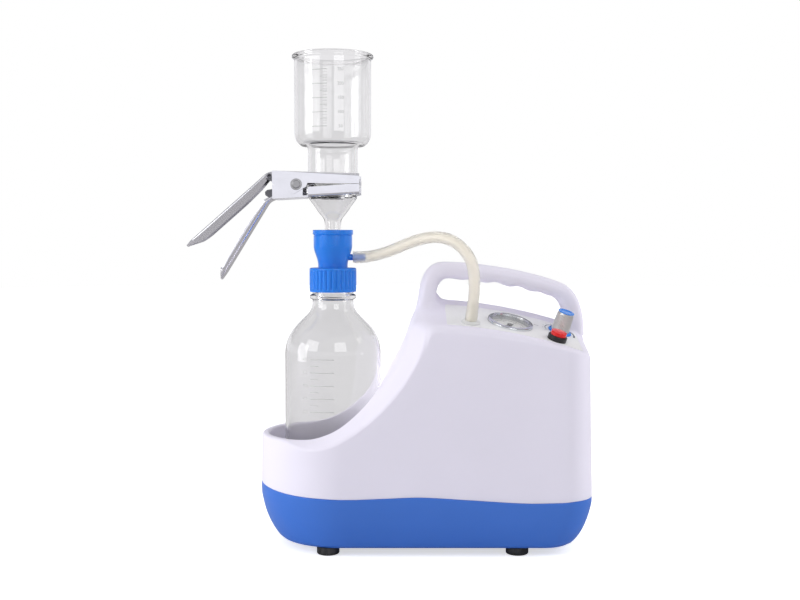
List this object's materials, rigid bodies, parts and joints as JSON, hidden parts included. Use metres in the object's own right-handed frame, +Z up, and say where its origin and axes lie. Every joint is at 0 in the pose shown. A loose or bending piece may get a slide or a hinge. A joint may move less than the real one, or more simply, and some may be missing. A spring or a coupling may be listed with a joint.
{
  "type": "vacuum filtration unit",
  "caption": "Portable vacuum filtration unit: a moulded pump housing with a carry handle, a lab bottle in its well, and a clamped glass filter funnel on a blue bottle adapter.",
  "frame": {"origin": "centre of the footprint of the whole, on the plane that the rubber feet stand on", "axes": "+X to the right, from the bottle to the pump; -Y is the front with the control panel; +Z up"},
  "size_m": [0.4224, 0.156, 0.513],
  "materials": {
    "white_housing": "satin white moulding",
    "blue_base": "satin blue moulding",
    "adapter_blue": "satin blue polypropylene",
    "trim_blue": "gloss",
    "foot_rubber": "matt",
    "screw_steel": "zinc plated",
    "panel_label": "printed film",
    "gauge_body": "satin",
    "gauge_ring": "polished",
    "dial_face": "printed white",
    "needle_black": "matt",
    "clear_lens": "clear",
    "valve_brass": "turned",
    "knob_metal": "knurled and polished",
    "switch_black": "satin",
    "button_red": "gloss",
    "fitting_white": "satin",
    "inner_tube": "translucent silicone",
    "hose_silicone": "translucent silicone",
    "pump_aluminium": "cast",
    "motor_paint": "satin",
    "silencer_bronze": "sintered",
    "clear_glass": "clear borosilicate",
    "seal_silicone": "matt",
    "frit_glass": "sintered",
    "clamp_aluminium": "anodised"
  },
  "bodies": {
    "unit": {"upper_housing": "white_housing", "lower_base": "blue_base", "rubber_feet": "foot_rubber", "foot_screws": "screw_steel", "housing_screws": "screw_steel", "control_label": "panel_label", "gauge_case": "gauge_body", "gauge_bezel": "gauge_ring", "gauge_dial": "dial_face", "gauge_lens": "clear_lens", "regulator_valve": "valve_brass", "regulator_nut": "screw_steel", "switch_body": "switch_black", "switch_nut": "switch_black", "inlet_nipple": "fitting_white", "vacuum_manifold": "valve_brass", "gauge_tube": "inner_tube", "regulator_tube": "inner_tube", "suction_tube": "inner_tube", "suction_hose": "hose_silicone", "pump_bracket": "pump_aluminium", "pump_mounts": "foot_rubber", "pump_motor": "motor_paint", "pump_crankcase": "pump_aluminium", "pump_cylinder": "pump_aluminium", "pump_head": "pump_aluminium", "head_screws": "screw_steel", "exhaust_silencer": "silencer_bronze", "power_inlet": "switch_black", "inlet_screws": "screw_steel", "bottle": "clear_glass", "adapter_seal": "seal_silicone", "bottle_adapter": "adapter_blue", "silicone_stopper": "seal_silicone", "support_base": "clear_glass", "frit_disc": "frit_glass", "funnel": "clear_glass", "clamp_lower_jaw": "clamp_aluminium", "clamp_pin": "screw_steel", "clamp_spring": "screw_steel"},
    "button": {"power_button": "button_red"},
    "knob": {"regulator_knob": "knob_metal", "knob_skirt": "trim_blue", "knob_cap": "trim_blue"},
    "needle": {"gauge_needle": "needle_black"},
    "upper_jaw": {"clamp_upper_jaw": "clamp_aluminium"},
    "cap": {"screw_cap": "adapter_blue"},
    "rotor": {"motor_rotor": "screw_steel"},
    "piston": {"pump_piston": "pump_aluminium"}
  },
  "joints": [
    {"name": "button_press", "type": "slide", "parent": "unit", "child": "button", "axis": [-0.2653, 0.247, -0.932], "range_m": [0, 0.0025], "stiffness_N_per_m": 250},
    {"name": "knob_turn", "type": "hinge", "parent": "unit", "child": "knob", "pos_m": [0.17969, -0.028, 0.22303], "axis": [0.2782, -0.246, 0.9285], "range_deg": [-150, 150]},
    {"name": "needle_swing", "type": "hinge", "parent": "unit", "child": "needle", "pos_m": [0.12769, -0.038, 0.23312], "axis": [0.1821, -0.2519, 0.9505], "range_deg": [-270, 0], "stiffness_Nm_per_rad": 0.001},
    {"name": "clamp_open", "type": "hinge", "parent": "unit", "child": "upper_jaw", "pos_m": [-0.09231, 0, 0.3755], "axis": [0, -1, 0], "range_deg": [0, 10], "stiffness_Nm_per_rad": 1.5, "springref_deg": -20.05, "deforming": ["clamp_spring"]},
    {"name": "cap_turn", "type": "hinge", "parent": "unit", "child": "cap", "pos_m": [-0.05631, 0, 0.2886], "axis": [0, 0, 1], "range_deg": [0, 540]},
    {"name": "rotor_spin", "type": "hinge", "parent": "unit", "child": "rotor", "pos_m": [0.14569, 0, 0.0685], "axis": [1, 0, 0], "continuous": true},
    {"name": "piston_stroke", "type": "slide", "parent": "unit", "child": "piston", "axis": [0, 0, 1], "range_m": [-0.003, 0.003]}
  ]
}
